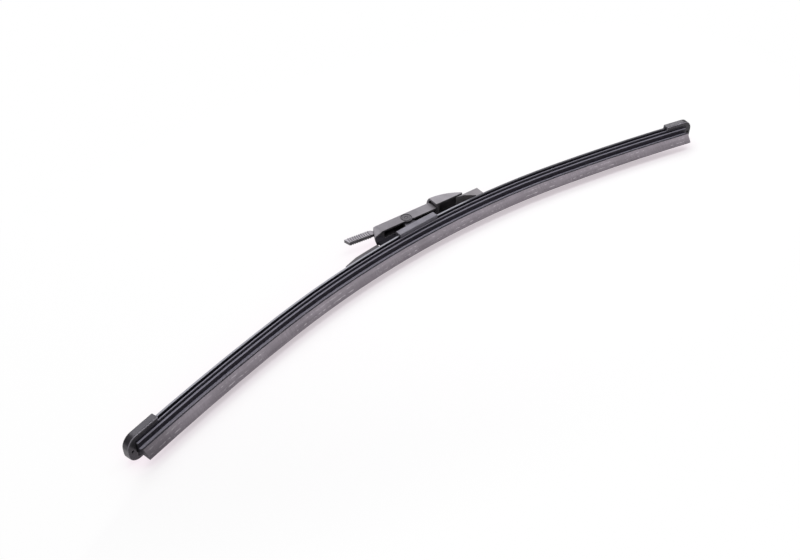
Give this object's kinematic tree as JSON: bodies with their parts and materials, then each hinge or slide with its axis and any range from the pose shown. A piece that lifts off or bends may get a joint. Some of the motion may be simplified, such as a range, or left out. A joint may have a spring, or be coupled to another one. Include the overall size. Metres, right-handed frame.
{
  "type": "rear wiper blade",
  "caption": "Flat rear-window wiper blade with bowed spring rails, a rubber strip with a leaning lip, end caps and a turning arm adapter with a ribbed tongue and a hood.",
  "frame": {"origin": "on the adapter's pivot axis, at the middle of the blade's width", "axes": "+X along the blade towards the hood end, +Y away from the glass, +Z along the pivot axis, across the blade's width"},
  "size_m": [0.3386, 0.0521, 0.0126],
  "materials": {
    "rail_steel": "satin black paint with bare cut edges",
    "strip_rubber": "matt with a graphite-coated lip",
    "cap_plastic": "satin",
    "bracket_steel": "satin grey coating",
    "cover_plastic": "matt black",
    "pin_steel": "plain turned steel",
    "adapter_plastic": "fine matt grain, dark grey"
  },
  "bodies": {
    "blade": {"upper_rail": "rail_steel", "lower_rail": "rail_steel", "wiper_rubber": "strip_rubber", "left_end_cap": "cap_plastic", "right_end_cap": "cap_plastic", "claw_bracket": "bracket_steel", "base_cover": "cover_plastic", "pivot_pin": "pin_steel"},
    "adapter": {"adapter": "adapter_plastic"}
  },
  "joints": [
    {"name": "adapter_pivot", "type": "hinge", "parent": "blade", "child": "adapter", "pos_m": [0, 0, 0], "axis": [0, 0, 1], "range_deg": [0, 12]}
  ]
}
